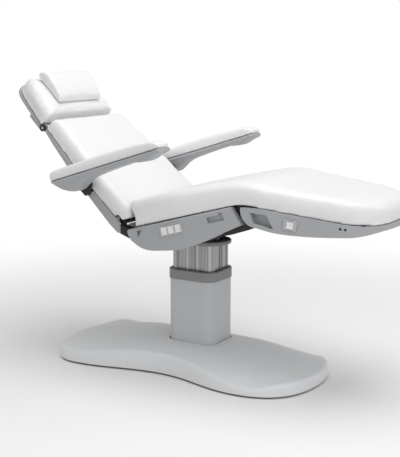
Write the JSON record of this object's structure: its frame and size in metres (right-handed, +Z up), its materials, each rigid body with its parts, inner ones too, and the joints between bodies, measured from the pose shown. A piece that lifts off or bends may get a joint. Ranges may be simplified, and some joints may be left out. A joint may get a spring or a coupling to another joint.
{
  "type": "electric beauty chair",
  "caption": "Electric beauty chair: padded seat and leg rest, reclining back, head rest with pillow and swinging arm rests on a telescopic column over a waisted floor base.",
  "frame": {"origin": "on the floor, at the middle of the chair's length and width", "axes": "+X towards the foot end, +Y towards the side without keys, +Z up"},
  "size_m": [1.6223, 0.8034, 1.1856],
  "materials": {
    "grey_cover": "satin",
    "grey_shell": "satin",
    "column_paint": "satin",
    "collar_grey": "satin",
    "column_aluminium": "brushed",
    "steel": "brushed",
    "black_steel": "satin",
    "black_plastic": "matte",
    "key_white": "semi gloss",
    "panel_grey": "semi gloss",
    "foot_rubber": "matte",
    "white_leather": "smooth"
  },
  "bodies": {
    "base": {"base_cover": "grey_cover", "mains_inlet": "black_plastic", "base_plate": "black_steel", "foot_pads": "foot_rubber", "foot_studs": "steel", "column_outer": "column_paint", "column_bolts": "steel", "column_collar": "collar_grey", "column_guide": "black_plastic", "lift_gear": "black_steel", "lift_spindle": "steel"},
    "lift": {"column_inner": "column_aluminium", "lift_nut": "black_plastic", "column_cap": "collar_grey", "tilt_bracket": "black_steel", "tilt_actuator": "black_steel"},
    "tilt_rod": {"tilt_rod": "steel"},
    "seat": {"seat_frame": "black_steel", "tilt_pin": "steel", "seat_tray": "black_steel", "knee_trough": "black_plastic", "seat_cover_right": "grey_shell", "seat_cover_left": "grey_shell", "hinge_brackets": "black_steel", "rear_covers": "black_plastic", "knee_arms": "black_steel", "control_panel": "panel_grey", "control_box": "black_plastic", "seat_wedge": "white_leather", "seat_cushion": "white_leather", "knee_cushion": "white_leather"},
    "seat_key_1": {"seat_key_1": "key_white"},
    "seat_key_2": {"seat_key_2": "key_white"},
    "seat_key_3": {"seat_key_3": "key_white"},
    "back": {"back_cushion": "white_leather", "back_shell": "grey_shell", "back_frame": "black_steel", "arm_brackets": "steel"},
    "arm_right": {"arm_shell_right": "grey_shell", "arm_pad_right": "white_leather"},
    "arm_left": {"arm_shell_left": "grey_shell", "arm_pad_left": "white_leather"},
    "head": {"head_frame": "grey_shell", "head_plate": "grey_shell", "head_cushion": "white_leather", "pillow": "white_leather"},
    "leg": {"leg_frame": "black_steel", "leg_shell": "grey_shell", "leg_cushion": "white_leather", "leg_panel": "panel_grey"},
    "leg_key": {"leg_key": "key_white"}
  },
  "joints": [
    {"name": "lift", "type": "slide", "parent": "base", "child": "lift", "axis": [0, 0, 1], "range_m": [-0.06, 0.165]},
    {"name": "tilt", "type": "hinge", "parent": "lift", "child": "seat", "pos_m": [-0.076, 0, 0.555], "axis": [0, -1, 0], "range_deg": [-15.3, 5]},
    {"name": "tilt_rod", "type": "slide", "parent": "lift", "child": "tilt_rod", "axis": [0, 0, 1], "range_m": [-0.04, 0.015]},
    {"name": "back", "type": "hinge", "parent": "seat", "child": "back", "pos_m": [-0.21663, 0, 0.61998], "axis": [0, -1, 0], "range_deg": [-15, 56.3]},
    {"name": "arm_right", "type": "hinge", "parent": "back", "child": "arm_right", "pos_m": [-0.347, -0.355, 0.75809], "axis": [0, -1, 0], "range_deg": [-60, 100]},
    {"name": "arm_left", "type": "hinge", "parent": "back", "child": "arm_left", "pos_m": [-0.347, 0.355, 0.75809], "axis": [0, -1, 0], "range_deg": [-60, 100]},
    {"name": "head", "type": "hinge", "parent": "back", "child": "head", "pos_m": [-0.63447, 0, 0.95936], "axis": [0, -1, 0], "range_deg": [-5, 40]},
    {"name": "leg", "type": "hinge", "parent": "seat", "child": "leg", "pos_m": [0.38049, 0, 0.71222], "axis": [0, -1, 0], "range_deg": [-60, 22.2], "deforming": ["knee_cushion"]},
    {"name": "seat_key_1", "type": "hinge", "parent": "seat", "child": "seat_key_1", "pos_m": [-0.00296, -0.2865, 0.60369], "axis": [0.9646, 0, 0.2639], "range_deg": [-6, 6], "stiffness_Nm_per_rad": 0.4},
    {"name": "seat_key_2", "type": "hinge", "parent": "seat", "child": "seat_key_2", "pos_m": [0.02694, -0.2865, 0.61187], "axis": [0.9646, 0, 0.2639], "range_deg": [-6, 6], "stiffness_Nm_per_rad": 0.4},
    {"name": "seat_key_3", "type": "hinge", "parent": "seat", "child": "seat_key_3", "pos_m": [0.05684, -0.2865, 0.62005], "axis": [0.9646, 0, 0.2639], "range_deg": [-6, 6], "stiffness_Nm_per_rad": 0.4},
    {"name": "leg_key", "type": "hinge", "parent": "leg", "child": "leg_key", "pos_m": [0.51114, -0.27052, 0.67022], "axis": [0.9786, 0.1685, -0.1184], "range_deg": [-6, 6], "stiffness_Nm_per_rad": 0.4}
  ],
  "couplings": [
    {"joint": "tilt_rod", "follows": "tilt", "m_per_rad": 0.135}
  ]
}
